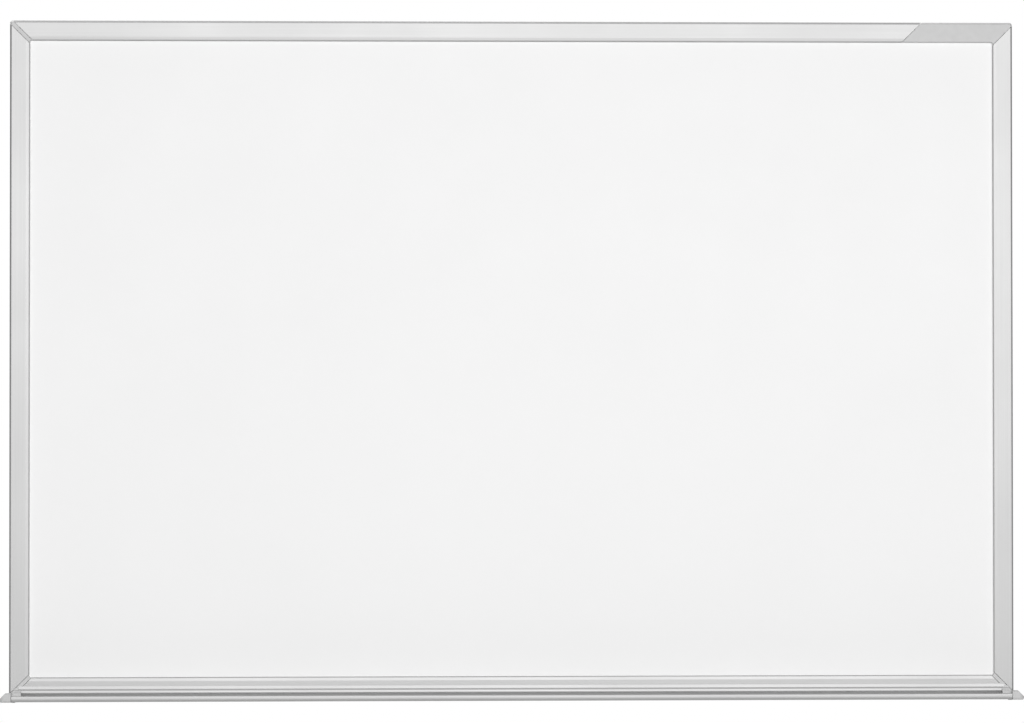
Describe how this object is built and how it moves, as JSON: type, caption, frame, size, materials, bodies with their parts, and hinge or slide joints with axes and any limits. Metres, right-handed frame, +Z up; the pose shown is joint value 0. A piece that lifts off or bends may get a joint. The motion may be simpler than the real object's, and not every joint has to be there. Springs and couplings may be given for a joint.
{
  "type": "magnetic whiteboard",
  "caption": "Wall-hung magnetic whiteboard: enamelled steel writing panel in a mitred aluminium frame with plastic corner pieces and a full-width pen tray that pulls off.",
  "frame": {"origin": "on the wall plane, behind the middle of the board, at the centre of the screw holes", "axes": "+X to the viewer's right along the board, +Z up, +Y into the wall; the writing surface faces -Y"},
  "size_m": [0.9198, 0.0663, 0.618],
  "materials": {
    "enamel": "gloss enamel",
    "core_board": "raw fibreboard",
    "galvanised": "galvanised sheet",
    "anodised": "satin anodised extrusion",
    "grey_plastic": "fine-grained moulding",
    "screw_steel": "zinc plated",
    "fixing_steel": "zinc plated",
    "seal_rubber": "soft foam rubber",
    "buffer_rubber": "matt"
  },
  "bodies": {
    "board": {"writing_surface": "enamel", "panel_core": "core_board", "backing_sheet": "galvanised", "corner_screws": "screw_steel", "panel_edge_seals": "seal_rubber", "wall_buffers": "buffer_rubber", "frame_top_rail": "anodised", "frame_bottom_rail": "anodised", "frame_left_rail": "anodised", "frame_right_rail": "anodised", "corner_connector_top_left": "grey_plastic", "corner_connector_top_right": "grey_plastic", "corner_connector_bottom_left": "grey_plastic", "corner_connector_bottom_right": "grey_plastic"},
    "tray": {"tray_profile": "anodised", "tray_end_cap_left": "grey_plastic", "tray_end_cap_right": "grey_plastic"},
    "hanger_left": {"wall_hanger_left": "fixing_steel"},
    "hanger_right": {"wall_hanger_right": "fixing_steel"},
    "catch_left": {"wall_catch_left": "fixing_steel"},
    "catch_right": {"wall_catch_right": "fixing_steel"}
  },
  "joints": [
    {"name": "tray_pull_off", "type": "slide", "parent": "board", "child": "tray", "axis": [0, 0, -1], "range_m": [0, 0.012]},
    {"name": "hanger_left_slide", "type": "slide", "parent": "board", "child": "hanger_left", "axis": [1, 0, 0], "range_m": [-0.03, 0.03]},
    {"name": "hanger_right_slide", "type": "slide", "parent": "board", "child": "hanger_right", "axis": [1, 0, 0], "range_m": [-0.03, 0.03]},
    {"name": "catch_left_slide", "type": "slide", "parent": "board", "child": "catch_left", "axis": [1, 0, 0], "range_m": [-0.03, 0.03]},
    {"name": "catch_right_slide", "type": "slide", "parent": "board", "child": "catch_right", "axis": [1, 0, 0], "range_m": [-0.03, 0.03]}
  ]
}
